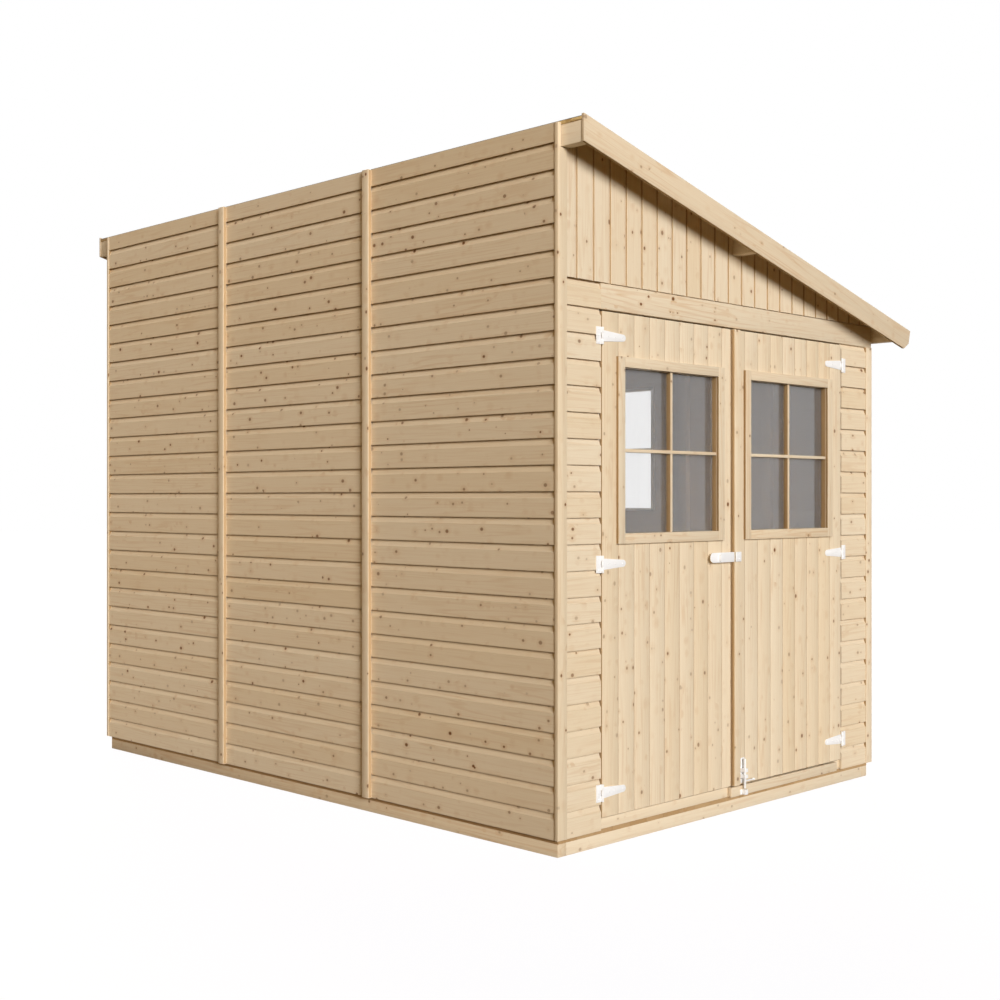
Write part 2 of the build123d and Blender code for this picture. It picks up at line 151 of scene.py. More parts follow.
world = bpy.data.worlds.new("studio")
world.use_nodes = True
bpy.context.scene.world = world
tree = world.node_tree
tree.nodes.clear()
sky = add_node(tree, "Background", {"Color": linear("#FFC75A"), "Strength": sky_strength})
white = add_node(tree, "Background", {"Color": linear("#FFFFFF"), "Strength": 1.0})
either = add_node(tree, "MixShader", {0: seen_rays(tree), 1: sky.outputs[0], 2: white.outputs[0]})
add_node(tree, "OutputWorld", {"Surface": either.outputs[0]})

bpy.ops.object.select_all(action="DESELECT")
bpy.ops.mesh.primitive_plane_add(size=floor_reach, location=(0, 0, -floor_drop))
floor_plane = bpy.context.object
floor_plane.name = "studio_floor"
floor_paint, tree = new_material("matt studio floor")
matt = add_node(tree, "BsdfDiffuse", {"Color": linear("#6E5C38")})
glow = add_node(tree, "Math", {0: seen_rays(tree), 1: floor_glow}, operation="MULTIPLY")
lit = add_node(tree, "Emission", {"Color": linear("#F9FBFF"), "Strength": glow.outputs[0]})
both = add_node(tree, "AddShader", {0: matt.outputs[0], 1: lit.outputs[0]})
add_node(tree, "OutputMaterial", {"Surface": both.outputs[0]})
floor_plane.data.materials.append(floor_paint)
print("studio:", len(lamps), "lamps, a white world and a floor")

# %% [markdown]
# ## Planed spruce
# The cladding is raw planed spruce: pale straw, with faint flame figure along the board, fine
# fibres, and many small brown knots. The figure is drawn as contour lines of a noise that is
# stretched along the grain, which close into flames as sawn growth rings do, and bend round the
# knots. Every board carries a random number in its mesh, which moves the pattern and its tone, so
# that no two boards are alike. Trims such as casings, lintel and bargeboards come from other planks,
# a shade deeper and with more figure. Otherwise only the direction of the grain differs.

# %% Planed spruce
roof_up = max((face.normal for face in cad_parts["roof_felt"].data.polygons), key=lambda up: up.z)
roof_angle = math.atan2(roof_up.x, roof_up.z)
grain_turns = {
    "along_x": (0, 0, 0),
    "along_y": (0, 0, math.radians(-90)),
    "upright": (0, math.radians(90), 0),
    "down_the_roof": (0, -roof_angle, 0),
}
board_shift = (9.7, 1.9, 2.3)
figure_width = 52 * mm
figure_lines = 60.0
fibre_width = 3.2 * mm
blotch_size = 260 * mm
knot_stretch = (0.8, 1, 1)
figure_stretch = (0.035, 1, 1)
fibre_stretch = (0.025, 1, 1)
grain_relief = 0.6 * mm


def spruce(name, grain, pale, deep, knot_colour, knot_radius, knot_spacing, roughness, grain_depth=1.0):
    """Softwood with its figure, fibres and knots running along one direction."""
    material, tree = new_material(name)
    place = add_node(tree, "TexCoord").outputs["Object"]
    board = add_node(tree, "Attribute", attribute_name="board").outputs["Fac"]
    turned = add_node(tree, "Mapping", {"Vector": place, "Rotation": grain_turns[grain]})
    shift = add_node(tree, "VectorMath", {0: board, 1: board_shift}, operation="MULTIPLY")
    moved = add_node(tree, "VectorMath", {0: turned.outputs[0], 1: shift.outputs[0]}, operation="ADD")
    wood = moved.outputs[0]

    # Knots are small balls in the wood, met where the saw passed near their middle.
    squeezed = add_node(tree, "VectorMath", {0: wood, 1: knot_stretch}, operation="MULTIPLY")
    cell = add_node(tree, "TexVoronoi", {"Vector": squeezed.outputs[0], "Scale": 1 / knot_spacing})
    chance = add_node(tree, "SeparateColor", {0: cell.outputs["Color"]})
    reach = knot_radius / knot_spacing
    size = add_node(tree, "MapRange", {0: chance.outputs[0], 1: 0.3, 3: 0.05 * reach, 4: reach}).outputs[0]
    depth = add_node(tree, "MapRange", {0: chance.outputs[1], 3: 0.3, 4: 1.0}).outputs[0]
    ratio = add_node(tree, "Math", {0: cell.outputs["Distance"], 1: size}, operation="DIVIDE").outputs[0]
    core = add_node(tree, "MapRange", {0: ratio, 1: 1.0, 2: 0.6, 3: 0.0, 4: depth}).outputs[0]
    halo = add_node(tree, "MapRange", {0: ratio, 1: 3.0, 2: 0.8, 3: 0.0, 4: depth}).outputs[0]

    # The flame figure: contour lines of a noise stretched along the grain, pushed round knots.
    drawn = add_node(tree, "VectorMath", {0: wood, 1: figure_stretch}, operation="MULTIPLY")
    swell = add_node(tree, "TexNoise", {"Vector": drawn.outputs[0], "Scale": 1 / figure_width, "Detail": 1.5})
    pushed = add_node(tree, "Math", {0: halo, 1: 0.05, 2: swell.outputs["Fac"]}, operation="MULTIPLY_ADD")
    waves = add_node(tree, "Math", {0: pushed.outputs[0], 1: figure_lines}, operation="MULTIPLY")
    rings = add_node(tree, "Math", {0: waves.outputs[0]}, operation="SINE")
    figure = add_node(tree, "MapRange", {0: rings.outputs[0], 1: 0.35, 2: 1.0, 3: 0.0, 4: 1.0}).outputs[0]

    # Fibres are drawn a little coarser than real ones, so that they show at this distance.
    combed = add_node(tree, "VectorMath", {0: wood, 1: fibre_stretch}, operation="MULTIPLY")
    fibre = add_node(tree, "TexNoise", {"Vector": combed.outputs[0], "Scale": 1 / fibre_width, "Detail": 3.0})
    blotch = add_node(tree, "TexNoise", {"Vector": wood, "Scale": 1 / blotch_size, "Detail": 2.0})
    figure_shares = {1: 0.38, 2: 0.66, 3: 0.03 * grain_depth, 4: 0.23 * grain_depth}
    strength = add_node(tree, "MapRange", {0: blotch.outputs["Fac"], **figure_shares})
    share = add_node(tree, "Math", {0: figure, 1: strength.outputs[0]}, operation="MULTIPLY")
    streak_shares = {1: 0.45, 2: 0.75, 3: 0.0, 4: 0.15 * grain_depth}
    streak = add_node(tree, "MapRange", {0: fibre.outputs["Fac"], **streak_shares})
    grain_share = add_node(tree, "Math", {0: share.outputs[0], 1: streak.outputs[0]}, operation="ADD")

    # Board tones wander from a pale straw to a deeper one.
    tone = add_node(tree, "TexWhiteNoise", {"W": board}, noise_dimensions="1D")
    tones = add_node(tree, "ValToRGB", {"Fac": tone.outputs["Value"]})
    ramp = tones.color_ramp
    ramp.elements[0].color = linear(pale[0])
    ramp.elements[1].color = linear(pale[2])
    ramp.elements.new(0.5).color = linear(pale[1])
    figured = add_node(
        tree, "Mix", {0: grain_share.outputs[0], 6: tones.outputs[0], 7: linear(deep)}, data_type="RGBA"
    )
    warm = add_node(tree, "Math", {0: halo, 1: 0.3}, operation="MULTIPLY")
    ringed = add_node(
        tree, "Mix", {0: warm.outputs[0], 6: figured.outputs[2], 7: linear(deep)}, data_type="RGBA"
    )
    knotted = add_node(
        tree, "Mix", {0: core, 6: ringed.outputs[2], 7: linear(knot_colour)}, data_type="RGBA"
    )
    dull = add_node(
        tree, "MapRange", {0: fibre.outputs["Fac"], 1: 0.3, 2: 0.7, 3: roughness - 0.06, 4: roughness + 0.08}
    )
    relief = add_node(tree, "Math", {0: grain_share.outputs[0], 1: -0.6}, operation="MULTIPLY")
    bump = add_node(tree, "Bump", {"Height": relief.outputs[0], "Strength": 0.35, "Distance": grain_relief})
    shader = add_node(
        tree,
        "BsdfPrincipled",
        {
            "Base Color": knotted.outputs[2],
            "Roughness": dull.outputs[0],
            "Specular IOR Level": 0.25,
            "Normal": bump.outputs[0],
        },
    )
    add_node(tree, "OutputMaterial", {"Surface": shader.outputs[0]})
    return material


def planed_spruce(name, pale, grain_depth):
    """Planed spruce in every direction of grain that the shed has."""
    return {
        grain: spruce(
            f"{name} {grain}",
            grain,
            pale=pale,
            deep="#C79A66",
            knot_colour="#70461F",
            knot_radius=8 * mm,
            knot_spacing=33 * mm,
            roughness=0.6,
            grain_depth=grain_depth,
        )
        for grain in grain_turns
    }


# Boards look pale and quiet, trims a shade deeper with livelier grain.
planed = planed_spruce("planed spruce", ("#EADABD", "#E8D6B7", "#E5D1AF"), 1.0)
trim = planed_spruce("planed spruce trim", ("#E2D3B7", "#E1CFB1", "#DECAA9"), 1.6)
print("planed spruce in", len(planed), "directions, for boards and for trims")

# %% [markdown]
# ## Sawn timber
# Studs, side rails, the floor and the backs of the cladding are left as the saw made them: duller,
# deeper in colour and rougher than planed faces, with fewer knots. It is the same wood, so the same
# function makes it with other colours. The narrow edges of boards get two finishes of their own, a
# paler and a deeper brown: painted shade for the seams, slits, reveals and undersides they go on.

# %% Sawn timber
# A dull honey brown for faces from the saw, and a paler and a deeper brown of painted shade for edges
sawn = {
    grain: spruce(
        "sawn spruce " + grain,
        grain,
        pale=("#C0A074", "#BA986D", "#B29062"),
        deep="#9F7444",
        knot_colour="#66401F",
        knot_radius=7 * mm,
        knot_spacing=90 * mm,
        roughness=0.78,
    )
    for grain in ("along_x", "along_y", "upright")
}
sawn_shaded_edge, rough_shaded_edge = (
    spruce(
        name,
        "upright",
        pale=pale,
        deep=deep,
        knot_colour="#66401F",
        knot_radius=5 * mm,
        knot_spacing=60 * mm,
        roughness=0.8,
    )
    for name, pale, deep in (
        ("pale painted shade on sawn spruce", ("#C9AC84", "#C5A67C", "#BF9F75"), "#9A7746"),
        ("deep painted shade on rough spruce", ("#AC8E64", "#A7885D", "#A18156"), "#84643A"),
    )
)
print("sawn spruce in", len(sawn), "directions, with", sawn_shaded_edge.name, "and", rough_shaded_edge.name)

# %% [markdown]
# ## Strand board
# The roof deck is a sheet of wood flakes pressed in resin. The flakes lie in two main directions,
# each with its own tone. Two cell patterns, stretched to the length and width of a flake and turned
# against each other, give that: at each place the flake whose middle is nearer lies on top.

# %% Strand board
flake_length = 70 * mm
flake_width = 16 * mm
flake_turns = (12, 101)
flake_relief = 0.5 * mm


def strand_board():
    """Pressed flakes that lie in two directions, from straw to brown, with a waxy face."""
    material, tree = new_material("pressed strand board")
    place = add_node(tree, "TexCoord").outputs["Object"]
    layers = []
    for turn in flake_turns:
        turned = add_node(tree, "Mapping", {"Vector": place, "Rotation": (0, 0, math.radians(turn))})
        shape = (1 / flake_length, 1 / flake_width, 1 / flake_width)
        flat = add_node(tree, "VectorMath", {0: turned.outputs[0], 1: shape}, operation="MULTIPLY")
        layers.append(add_node(tree, "TexVoronoi", {"Vector": flat.outputs[0], "Scale": 1.0}))
    first, second = (layer.outputs["Distance"] for layer in layers)
    over = add_node(tree, "Math", {0: first, 1: second}, operation="LESS_THAN")
    pick_one = add_node(
        tree,
        "Mix",
        {0: over.outputs[0], 6: layers[1].outputs["Color"], 7: layers[0].outputs["Color"]},
        data_type="RGBA",
    )
    tone = add_node(tree, "SeparateColor", {0: pick_one.outputs[2]})
    tones = add_node(tree, "ValToRGB", {"Fac": tone.outputs[0]})
    tones.color_ramp.elements[0].color = linear("#9A743C")
    tones.color_ramp.elements[1].color = linear("#D6B97E")
    edge = add_node(tree, "Math", {0: first, 1: second}, operation="MINIMUM")
    bump = add_node(tree, "Bump", {"Height": edge.outputs[0], "Strength": 0.3, "Distance": flake_relief})
    shader = add_node(
        tree,
        "BsdfPrincipled",
        {"Base Color": tones.outputs[0], "Roughness": 0.62, "Normal": bump.outputs[0]},
    )
    add_node(tree, "OutputMaterial", {"Surface": shader.outputs[0]})
    return material


roof_board = strand_board()
print("made", roof_board.name)

# %% [markdown]
# ## Mineral felt
# Roofing felt is a bitumen sheet with crushed stone rolled into its face: a dull grey full of light
# and dark grains, washed paler in patches. Small cells give each grain its tone and its bump, and a
# slow noise over them gives the patches, which a plain grey with fine noise would not.

# %% Mineral felt
grit_size = 4.5 * mm
wash_size = 400 * mm
grit_relief = 1.2 * mm


def mineral_felt():
    """Bitumen felt with grey mineral grit, drawn coarser than real grit so that it shows."""
    material, tree = new_material("mineral roofing felt")
    place = add_node(tree, "TexCoord").outputs["Object"]
    grit = add_node(tree, "TexVoronoi", {"Vector": place, "Scale": 1 / grit_size})
    wash = add_node(tree, "TexNoise", {"Vector": place, "Scale": 1 / wash_size, "Detail": 3.0})
    grain = add_node(tree, "SeparateColor", {0: grit.outputs["Color"]})
    tones = add_node(tree, "ValToRGB", {"Fac": grain.outputs[0]})
    tones.color_ramp.elements[0].color = linear("#5E6263")
    tones.color_ramp.elements[1].color = linear("#A3A6A4")
    faded = add_node(tree, "MapRange", {0: wash.outputs["Fac"], 1: 0.35, 2: 0.7, 3: 0.0, 4: 0.4})
    washed = add_node(
        tree, "Mix", {0: faded.outputs[0], 6: tones.outputs[0], 7: linear("#7C8080")}, data_type="RGBA"
    )

    # Each length of felt comes from its own roll, a little lighter or darker than the next.
    roll = add_node(tree, "Attribute", attribute_name="board")
    tint = add_node(tree, "MapRange", {0: roll.outputs["Fac"], 3: 0.0, 4: 0.45})
    rolled = add_node(
        tree, "Mix", {0: tint.outputs[0], 6: washed.outputs[2], 7: linear("#5A5E5F")}, data_type="RGBA"
    )
    bump = add_node(
        tree, "Bump", {"Height": grit.outputs["Distance"], "Strength": 0.7, "Distance": grit_relief}
    )
    shader = add_node(
        tree,
        "BsdfPrincipled",
        {"Base Color": rolled.outputs[2], "Roughness": 0.9, "Normal": bump.outputs[0]},
    )
    add_node(tree, "OutputMaterial", {"Surface": shader.outputs[0]})
    return material


felt = mineral_felt()
print("made", felt.name)

# %% [markdown]
# ## Painted and plated steel
# Hinges, hasp, bolt and their screws are steel under a white powder coat, and the felt nails are
# plated with zinc. Such a skin is slightly dimpled, like an orange, and its gloss is uneven. One
# function makes both, because they differ only in colour, metal and gloss.

# %% Painted and plated steel
peel_size = 3 * mm
smear_size = 40 * mm
peel_relief = 0.3 * mm


def steel(name, colour, worn, metallic, low_roughness, high_roughness):
    """Painted or plated steel: a faint orange peel and uneven gloss over one colour."""
    material, tree = new_material(name)
    place = add_node(tree, "TexCoord").outputs["Object"]
    smear = add_node(tree, "TexNoise", {"Vector": place, "Scale": 1 / smear_size, "Detail": 3.0})
    peel = add_node(tree, "TexNoise", {"Vector": place, "Scale": 1 / peel_size, "Detail": 1.0})
    shade = add_node(
        tree, "Mix", {0: smear.outputs["Fac"], 6: linear(colour), 7: linear(worn)}, data_type="RGBA"
    )
    gloss = add_node(
        tree, "MapRange", {0: smear.outputs["Fac"], 1: 0.3, 2: 0.7, 3: low_roughness, 4: high_roughness}
    )
    bump = add_node(tree, "Bump", {"Height": peel.outputs["Fac"], "Strength": 0.08, "Distance": peel_relief})
    shader = add_node(
        tree,
        "BsdfPrincipled",
        {
            "Base Color": shade.outputs[2],
            "Metallic": metallic,
            "Roughness": gloss.outputs[0],
            "Normal": bump.outputs[0],
        },
    )
    add_node(tree, "OutputMaterial", {"Surface": shader.outputs[0]})
    return material


white_steel = steel("white powder coated steel", "#FAFAF8", "#F0F0EE", 0.0, 0.3, 0.45)
zinc = steel("zinc plated steel", "#C9C8C2", "#A8A69E", 1.0, 0.3, 0.5)
print("made", white_steel.name, "and", zinc.name)

# %% [markdown]
# ## Window glass
# The panes are float glass with a thin film of dust on them. The film and the mirror of the bright
# surroundings lay a grey veil over the dim room. A glass shader that lets most of the light through
# and scatters the rest does the same in any light, which a grey tint would not.

# %% Window glass
smudge_size = 120 * mm


def window_glass():
    """Float glass under a thin film of dust, which veils the room behind with grey."""
    material, tree = new_material("clear float glass")
    place = add_node(tree, "TexCoord").outputs["Object"]
    smudge = add_node(tree, "TexNoise", {"Vector": place, "Scale": 1 / smudge_size, "Detail": 3.0})
    film = add_node(tree, "MapRange", {0: smudge.outputs["Fac"], 1: 0.4, 2: 0.7, 3: 0.0, 4: 0.03})
    shader = add_node(
        tree,
        "BsdfPrincipled",
        {
            "Base Color": linear("#FFFFFF"),
            "Roughness": film.outputs[0],
            "IOR": 1.5,
            "Transmission Weight": 0.93,
        },
    )
    add_node(tree, "OutputMaterial", {"Surface": shader.outputs[0]})
    return material


glass = window_glass()
for node in ("left_window_glass", "right_window_glass", "side_window_glass"):
    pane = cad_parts[node].data
    pane.materials.clear()
    pane.materials.append(glass)
print("glazed three windows")

# %% [markdown]
# ## Working by hand
# A few moves come back for every piece: picking it alone, starting a block between two corners,
# going into edit mode with chosen edges or faces, rounding edges over, carrying, repeating and
# joining. Each is a short function round the operators that a hand would use in the window.

# %% Working by hand
# A hair's breadth, by which corners may miss the place that they are picked by
hair = 0.1 * mm


def pick(*pieces):
    """Leave just these pieces selected, the first of them active."""
    bpy.ops.object.select_all(action="DESELECT")
    for piece in pieces:
        piece.select_set(True)
    bpy.context.view_layer.objects.active = pieces[0]


def block(name, low, high):
    """A squared block between two corners, the start of a board or a plate."""
    low, high = Vector(low), Vector(high)
    bpy.ops.object.select_all(action="DESELECT")
    bpy.ops.mesh.primitive_cube_add(size=1, location=(low + high) / 2, scale=high - low)
    bpy.ops.object.transform_apply(location=True, rotation=True, scale=True)
    bpy.context.object.name = name
    return bpy.context.object


def edit(piece, kind, wanted):
    """Go into edit mode with the edges or faces selected whose corners all pass a test."""
    pick(piece)
    bpy.ops.object.mode_set(mode="EDIT")
    bpy.ops.mesh.select_mode(type=kind)
    bpy.ops.mesh.select_all(action="DESELECT")
    bpy.ops.object.mode_set(mode="OBJECT")
    corners = piece.data.vertices
    for item in piece.data.edges if kind == "EDGE" else piece.data.polygons:
        item.select = all(wanted(corners[index].co) for index in item.vertices)
    bpy.ops.object.mode_set(mode="EDIT")


def done():
    """Leave edit mode."""
    bpy.ops.object.mode_set(mode="OBJECT")


def round_over(ease):
    """Round over the selected edges in two steps."""
    bpy.ops.mesh.bevel(offset=ease, segments=2, affect="EDGES")


def carry(piece, place, turn=(0, 0, 0)):
    """Turn a piece that was made at the origin, and carry it to its place."""
    pick(piece)
    piece.rotation_euler = turn
    piece.location = place
    bpy.ops.object.transform_apply(location=True, rotation=True, scale=True)


def repeat(piece, count, step):
    """Repeat a piece in a row."""
    pick(piece)
    bpy.ops.object.modifier_add(type="ARRAY")
    row = piece.modifiers[-1]
    row.count = count
    row.use_relative_offset = False
    row.use_constant_offset = True
    row.constant_offset_displace = step
    bpy.ops.object.modifier_apply(modifier=row.name)


def joined(name, pieces):
    """Join pieces into one."""
    pick(*pieces)
    bpy.ops.object.join()
    pieces[0].name = name
    return pieces[0]


print("corners are picked to", round(hair / mm, 2), "mm")

# %% [markdown]
# ## Handing a piece over
# A finished piece takes its finish, rides on a body and stands in for its CAD nodes. First each
# separate board in it gets its random number: boards are told apart by following their edges, so
# one mesh can hold a whole wall. Sides and faces turned inwards or down get a second finish, face by
# face: a darker one as painted shade, or on the backs of the cladding the rough sawn one.

# %% Handing a piece over
smooth_limit = math.radians(35)
facing_limit = 0.95


def mark_boards(piece):
    """Give each separate board of a piece a random number, which the wood reads."""
    mesh = piece.data
    leader = list(range(len(mesh.vertices)))

    def lead(index):
        while leader[index] != index:
            leader[index] = leader[leader[index]]
            index = leader[index]
        return index

    for edge in mesh.edges:
        leader[lead(edge.vertices[0])] = lead(edge.vertices[1])
    numbers = {}
    marks = mesh.attributes.new("board", "FLOAT", "POINT")
    for index, mark in enumerate(marks.data):
        mark.value = numbers.setdefault(lead(index), draw.random())


def shade_sides(piece, axis, edge):
    """Paint shade on the narrow sides of a piece, those that face along an axis, with a darker edge finish.
    """
    piece.data.materials.append(edge)
    for face in piece.data.polygons:
        if abs(face.normal[axis]) > facing_limit:
            face.material_index = len(piece.data.materials) - 1


def shade_inner_faces(piece, axes, finish):
    """Give another finish to the faces that look to the middle of the shed or, along z, down: painted shade,
    or a sawn back.
    """
    mesh = piece.data
    mesh.materials.append(finish)
    for face in mesh.polygons:
        axis = max(axes, key=lambda way: abs(face.normal[way]))
        if abs(face.normal[axis]) > facing_limit and face.normal[axis] * face.center[axis] < 0:
            face.material_index = len(mesh.materials) - 1


def hand_over(piece, body, finish, slot, *nodes, sides=None, edge=sawn_shaded_edge):
    """Give a piece its finish and its body, in place of its nodes; the slot is not used."""
    mark_boards(piece)
    if finish:
        piece.data.materials.clear()
        piece.data.materials.append(finish)
    if sides is not None:
        shade_sides(piece, sides, edge)
    pick(piece)
    bpy.ops.object.shade_smooth_by_angle(angle=smooth_limit)
    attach(piece, body)
    if nodes:
        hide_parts(*nodes)
    print(piece.name, "has", len(piece.data.polygons), "faces and rides on", body)


print("faces within", round(math.degrees(smooth_limit)), "degrees are shaded as one")

# %% [markdown]
# ## Shiplap boards
# The walls are clad in shiplap: each board has a hollow cove along its top and a lip that comes
# down in front of the next board's tongue. The hollow under every lip is what draws the dark lines
# round the shed, so it is modelled, and painted shade on the faces in it makes the lines darker. One
# board starts as a block. A bevel with a hollow profile makes the cove, on a block drawn too thick,
# because a bevel cuts equally both ways; squeezing it to its thickness flattens the cove. Then lip
# and tongue are extruded.

# %% Shiplap boards
board_thickness = 13 * mm
level_cove = (18 * mm, 8 * mm)
upright_cove = (12 * mm, 5 * mm)
hollow_profile = 0.14
cove_steps = 6
lip = 6 * mm
lip_depth = 9 * mm
lip_play = 0.5 * mm
level_slit = 4 * mm
upright_slit = 1.0 * mm
board_ease = 0.6 * mm


def shiplap_board(length, cover, cove, slit):
    """One shiplap board along x, its face towards -y, that leaves a dark slit under the next lip."""
    cove_height, cove_depth = cove
    stretch = cove_height / cove_depth
    top = cover - slit
    board = block("shiplap", (0, 0, lip), (length, board_thickness * stretch, top))
    edit(board, "EDGE", lambda co: co.z > top / 2 and co.y < hair)
    bpy.ops.mesh.bevel(offset=cove_height, segments=cove_steps, profile=hollow_profile, affect="EDGES")
    bpy.ops.mesh.select_all(action="SELECT")
    bpy.ops.transform.resize(value=(1, 1 / stretch, 1), center_override=(0, 0, 0))
    for split in (lip_depth, lip_depth + lip_play):
        bpy.ops.mesh.select_all(action="SELECT")
        bpy.ops.mesh.bisect(plane_co=(0, split, 0), plane_no=(0, 1, 0))
    done()
    edit(board, "FACE", lambda co: co.z < lip + hair and co.y < lip_depth + hair)
    bpy.ops.mesh.extrude_region_move(TRANSFORM_OT_translate={"value": (0, 0, -lip)})
    done()
    edit(board, "FACE", lambda co: co.z > top - hair and co.y > lip_depth + lip_play - hair)
    bpy.ops.mesh.extrude_region_move(TRANSFORM_OT_translate={"value": (0, 0, slit + lip - lip_play)})
    done()
    edit(board, "EDGE", lambda co: co.z < hair and co.y < hair)
    round_over(board_ease)
    done()
    return board


print("a level cove is", round(level_cove[0] / mm), "mm high and", round(level_cove[1] / mm), "mm deep")

# %% [markdown]
# ## Cladding the walls
# A wall panel is one board repeated upwards, carried to its wall, and trimmed to the outline of its
# CAD panel, so that window openings come out right. A Boolean with a thickened copy of the panel
# does that: it cuts the outline and leaves the hollow faces alone. The backs stay rough.

# %% Cladding the walls
merge_distance = 0.02 * mm
flat_limit = math.radians(1)


def loose_copy(node, name):
    """A copy of a CAD node with its triangles merged back into flat faces."""
    piece = bpy.data.objects.new(name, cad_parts[node].data.copy())
    bpy.context.collection.objects.link(piece)
    pick(piece)
    bpy.ops.object.mode_set(mode="EDIT")
    bpy.ops.mesh.select_mode(type="EDGE")
    bpy.ops.mesh.select_all(action="SELECT")
    bpy.ops.mesh.customdata_custom_splitnormals_clear()
    bpy.ops.mesh.remove_doubles(threshold=merge_distance)
    bpy.ops.mesh.dissolve_limited(angle_limit=flat_limit)
    done()
    return piece


def trim_to(piece, node, thicken):
    """Trim a field of boards to the outline of its CAD node, windows and notches included."""
    low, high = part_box(node)
    outline = loose_copy(node, "outline")
    bpy.ops.object.mode_set(mode="EDIT")
    bpy.ops.mesh.select_all(action="SELECT")
    bpy.ops.transform.resize(value=thicken, center_override=(low + high) / 2)
    done()
    pick(piece)
    bpy.ops.object.modifier_add(type="BOOLEAN")
    cut = piece.modifiers[-1]
    cut.operation = "INTERSECT"
    cut.solver = "EXACT"
    cut.object = outline
    bpy.ops.object.modifier_apply(modifier=cut.name)
    bpy.data.objects.remove(outline)


# Where each wall's boards start, how they are turned, and how to thicken the outline
overrun = 4 * mm
quarter = math.radians(90)
thicker = 3
across_x = (thicker, 1, 1)
across_y = (1, thicker, 1)
walls = {
    "front": (0, across_y, lambda low, high: (low.x, low.y)),
    "left": (-quarter, across_x, lambda low, high: (low.x, high.y)),
    "right": (quarter, across_x, lambda low, high: (high.x, low.y)),
    "back": (2 * quarter, across_y, lambda low, high: (high.x, high.y)),
}


def level_cladding(name, node, wall, cover):
    """Clad a CAD wall panel with level shiplap boards, from its foot up."""
    low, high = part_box(node)
    turn, thicken, corner = walls[wall]
    length = max(high.x - low.x, high.y - low.y)
    panel = shiplap_board(length + 2 * overrun, cover, level_cove, level_slit)
    panel.name = name
    repeat(panel, math.ceil((high.z - low.z) / cover), (0, 0, cover))
    carry(panel, (-overrun, 0, 0))
    carry(panel, (*corner(low, high), low.z), (0, 0, turn))
    trim_to(panel, node, thicken)
    grain, through = ("along_x", 1) if thicken == across_y else ("along_y", 0)
    # Faces that look up or down, in the slits and under the lips, get the deeper edge finish as painted
    # shade.
    hand_over(panel, "shed", planed[grain], "spruce_cladding", node, sides=2, edge=rough_shaded_edge)
    shade_inner_faces(panel, (through,), sawn[grain])


level_cover = 84 * mm
for side in ("left", "right"):
    for place in ("front", "middle", "rear"):
        node = f"{side}_wall_{place}_panel"
        level_cladding(f"{side}_{place}_shiplap", node, side, level_cover)
level_cladding("front_left_shiplap", "front_left_panel", "front", level_cover)
level_cladding("front_right_shiplap", "front_right_panel", "front", level_cover)
level_cladding("back_left_shiplap", "back_wall_left_panel", "back", level_cover)
level_cladding("back_right_shiplap", "back_wall_right_panel", "back", level_cover)

# %% [markdown]
# ## Gables
# Over the doors and at the back the same boards stand upright, with their coves to one side. A
# panel is laid level first, tipped up on its end, and trimmed to the gable, which is cut to the
# slope of the roof and round the purlins.

# %% Gables
upright_cover = 81 * mm
front_seam = 95 * mm
gable_gap = 2.5 * mm
spare_boards = 2
wall_corner_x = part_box("corner_strips")[0].x


def upright_cladding(name, node, wall, first_seam):
    """Clad a CAD gable with upright shiplap boards, coves towards the board's right."""
    low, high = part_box(node)
    turn, thicken, corner = walls[wall]
    panel = shiplap_board(high.z - low.z + 2 * overrun, upright_cover, upright_cove, upright_slit)
    panel.name = name
    count = math.ceil((high.x - low.x) / upright_cover) + spare_boards
    repeat(panel, count, (0, 0, upright_cover))
    carry(panel, (-overrun, 0, 0))
    carry(panel, (-first_seam, 0, 0), (0, quarter, 0))
    carry(panel, (*corner(low, high), high.z), (0, 0, turn))
    trim_to(panel, node, thicken)
    bpy.ops.object.mode_set(mode="EDIT")
    bpy.ops.mesh.select_all(action="SELECT")
    bpy.ops.mesh.bisect(
        plane_co=(0, 0, low.z + gable_gap), plane_no=(0, 0, 1), use_fill=True, clear_inner=True
    )
    done()
    # The sides of the boards, in the seams, get the paler edge finish as painted shade.
    hand_over(panel, "shed", planed["upright"], "spruce_cladding", node, sides=0)
    shade_inner_faces(panel, (1,), sawn["upright"])


gable_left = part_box("front_gable")[0].x - wall_corner_x
upright_cladding("front_gable_boards", "front_gable", "front", gable_left - front_seam + upright_cover)
upright_cladding("back_gable_boards", "back_gable", "back", upright_cover / 2)

# %% [markdown]
# ## Doors
# The leaves are narrow upright boards with a fine open joint, counted from the hinges. One board is
# a block whose middle reaches on as a tongue, so that the joint is dark but lets no light through.
# The tongue is extruded from a strip that two cuts mark out, which is quicker than a Boolean.

# %% Doors
joint_ease = 0.3 * mm
joint_slit = 1.5 * mm
joint_depth = 5 * mm
tongue_share = 0.9


def jointed_board(length, cover, thickness):
    """A board along x, face towards -y, whose joint is open on both faces round a middle tongue."""
    top = cover - joint_slit
    tongue = (joint_depth, thickness - joint_depth)
    board = block("jointed", (0, 0, 0), (length, thickness, top))
    bpy.ops.object.mode_set(mode="EDIT")
    for split in tongue:
        bpy.ops.mesh.select_all(action="SELECT")
        bpy.ops.mesh.bisect(plane_co=(0, split, 0), plane_no=(0, 1, 0))
    done()
    edit(board, "FACE", lambda co: co.z > top - hair and tongue[0] - hair < co.y < tongue[1] + hair)
    bpy.ops.mesh.extrude_region_move(TRANSFORM_OT_translate={"value": (0, 0, tongue_share * joint_slit)})
    done()
    for face in (0, thickness):
        for side in (0, top):
            edit(board, "EDGE", lambda co: abs(co.y - face) < hair and abs(co.z - side) < hair)
            round_over(joint_ease)
            done()
    return board


